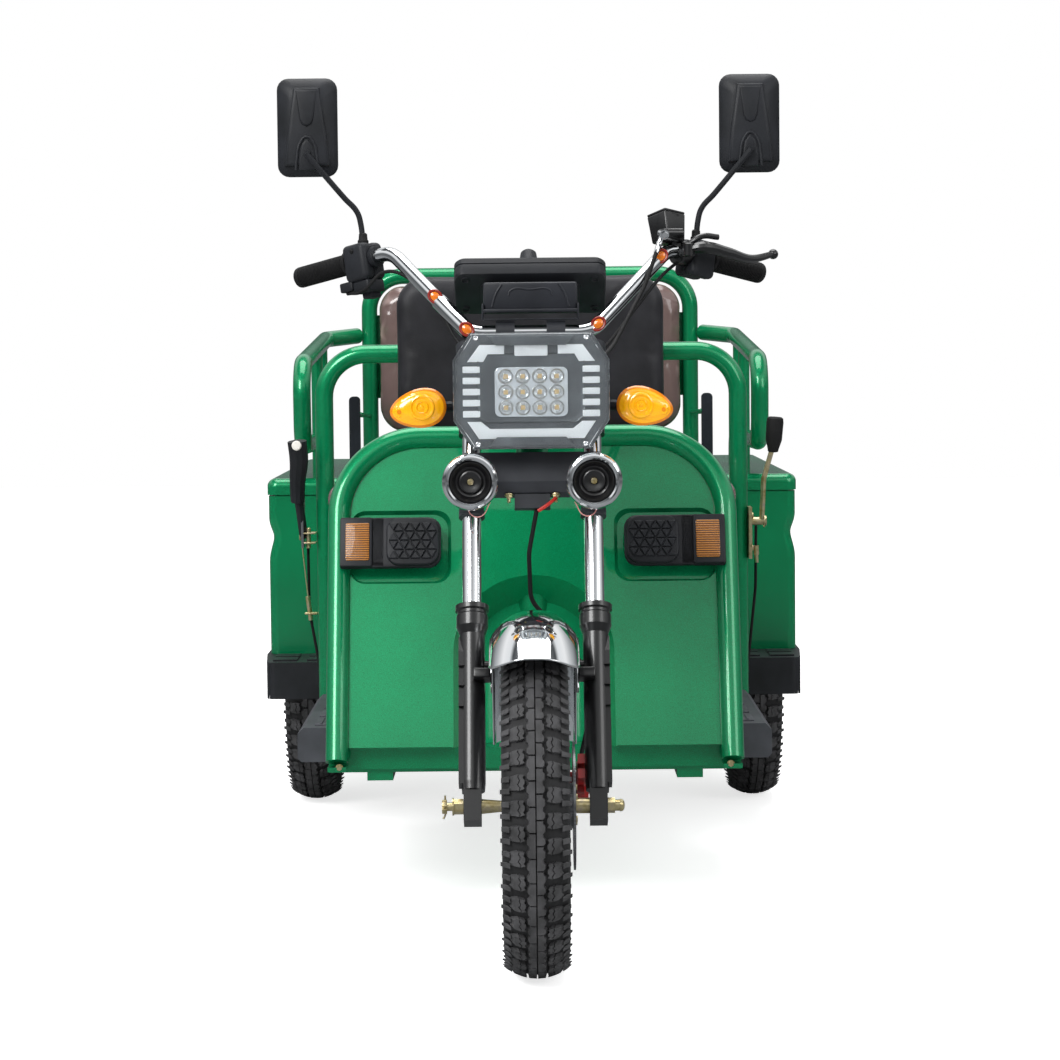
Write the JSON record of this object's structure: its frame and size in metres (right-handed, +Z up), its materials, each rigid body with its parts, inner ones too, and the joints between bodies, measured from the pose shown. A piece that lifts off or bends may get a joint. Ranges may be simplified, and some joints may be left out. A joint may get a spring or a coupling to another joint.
{
  "type": "electric cargo tricycle with passenger bench",
  "caption": "Three-wheeled electric cargo and passenger trike: fork-steered front wheel, leg shield, driver's bench, side boxes over the rear wheels, tailgate.",
  "frame": {"origin": "on the ground at the middle of the overall length and width", "axes": "+Z up, -Y forward along the direction of travel, +X to the vehicle's left"},
  "size_m": [0.98, 2.55, 1.2995],
  "materials": {
    "green_paint": "metallic gloss lacquer",
    "black_paint": "semi-gloss black enamel",
    "chrome": "polished chrome plate",
    "zinc": "yellow-passivated zinc plate",
    "raw_steel": "machined steel",
    "cast_alloy": "painted cast alloy",
    "tyre": "matt tyre rubber",
    "grip_rubber": "moulded soft rubber",
    "black_plastic": "grained black moulding",
    "grey_plastic": "grained grey moulding",
    "lamp_inside": "dark satin reflector",
    "clear_lens": "clear polycarbonate",
    "amber_lens": "amber moulded lens",
    "red_lens": "red moulded lens",
    "red_paint": "red enamel",
    "vinyl": "black grained vinyl",
    "wrapped_vinyl": "vinyl in shipping film"
  },
  "bodies": {
    "root": {"main_frame": "green_paint", "floor_pan": "green_paint", "footrests": "grey_plastic", "shield_hoop": "green_paint", "leg_shield": "green_paint", "shield_pads": "black_plastic", "seat_base": "green_paint", "battery": "black_plastic", "driver_cushion": "wrapped_vinyl", "driver_hoop": "green_paint", "driver_backrest": "vinyl", "cargo_deck": "green_paint", "side_boxes": "green_paint", "box_caps": "green_paint", "arch_trims": "black_plastic", "side_rails": "green_paint", "passenger_hoop": "green_paint", "passenger_base": "green_paint", "passenger_cushion": "wrapped_vinyl", "passenger_pad": "wrapped_vinyl", "seat_stays": "black_paint", "tail_lamps": "red_lens", "rear_axle": "black_paint", "leaf_springs": "black_paint", "handbrake": "black_plastic", "gear_lever": "zinc", "control_cables": "grip_rubber"},
    "steering": {"fork_sliders": "black_paint", "stanchions": "chrome", "steering_stem": "black_paint", "front_axle": "zinc", "front_fender": "chrome", "brake_caliper": "red_paint", "headlight_housing": "lamp_inside", "headlight_cover": "clear_lens", "lamp_bracket": "black_paint", "horns": "chrome", "turn_signals": "amber_lens", "handlebar": "chrome", "grips": "grip_rubber", "switch_housings": "black_plastic", "brake_lever": "black_plastic", "brake_hose": "grip_rubber", "mirror_stems": "black_paint", "mirror_heads": "black_plastic", "dash_pod": "black_plastic"},
    "front_wheel": {"front_tyre": "tyre", "front_rim": "cast_alloy", "brake_disc": "raw_steel"},
    "rear_wheel_left": {"rear_tyre_left": "tyre", "rear_rim_left": "black_paint"},
    "rear_wheel_right": {"rear_tyre_right": "tyre", "rear_rim_right": "black_paint"},
    "tailgate": {"tailgate": "green_paint"}
  },
  "joints": [
    {"name": "steering_turn", "type": "hinge", "parent": "root", "child": "steering", "pos_m": [0, -0.74065, 0.76477], "axis": [0, 0.4226, 0.9063], "range_deg": [-40, 40]},
    {"name": "front_wheel_spin", "type": "hinge", "parent": "steering", "child": "front_wheel", "pos_m": [0, -1.035, 0.24], "axis": [1, 0, 0], "continuous": true},
    {"name": "rear_wheel_left_spin", "type": "hinge", "parent": "root", "child": "rear_wheel_left", "pos_m": [0.4275, 0.665, 0.24], "axis": [1, 0, 0], "continuous": true},
    {"name": "rear_wheel_right_spin", "type": "hinge", "parent": "root", "child": "rear_wheel_right", "pos_m": [-0.4275, 0.665, 0.24], "axis": [1, 0, 0], "continuous": true},
    {"name": "tailgate_drop", "type": "hinge", "parent": "root", "child": "tailgate", "pos_m": [0, 1.259, 0.352], "axis": [-1, 0, 0], "range_deg": [0, 90]}
  ]
}
